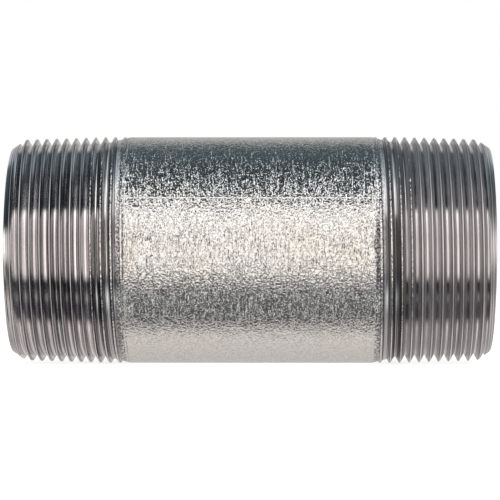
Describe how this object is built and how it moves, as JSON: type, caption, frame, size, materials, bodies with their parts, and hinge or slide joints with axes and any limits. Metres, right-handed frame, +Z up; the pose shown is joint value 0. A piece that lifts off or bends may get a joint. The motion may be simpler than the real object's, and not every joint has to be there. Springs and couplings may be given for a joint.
{
  "type": "threaded pipe nipple",
  "caption": "Short galvanised steel pipe nipple with a right-hand outside taper pipe thread on each end, bevelled ends and a plain zinc-coated middle.",
  "frame": {"origin": "the middle of the bore: on the pipe's axis, half-way between the two end faces", "axes": "+X along the pipe's axis from one threaded end to the other, which are alike. +Z up, with the pipe lying on its side. Along the +Z side the crests of the left thread stand 0.38 of a pitch, then whole pitches, in from the left end face. The right thread is the left one turned half round about Z and then 74 degrees about +X, from +Z towards -Y"},
  "size_m": [0.1538, 0.0732, 0.0732],
  "materials": {
    "machined_steel": "bare cut steel with fine tool lines round the thread, lightly oiled",
    "spangled_zinc": "hot-dip galvanised, semi-gloss, fine orange peel with faint feathery spangle",
    "bore_zinc": "hot-dip galvanised, duller and rougher than outside",
    "weld_steel": "dark rolled weld metal, under the zinc"
  },
  "bodies": {
    "root": {"steel_pipe": "machined_steel", "outer_zinc_coat": "spangled_zinc", "inner_zinc_coat": "bore_zinc", "weld_bead": "weld_steel"}
  },
  "joints": []
}
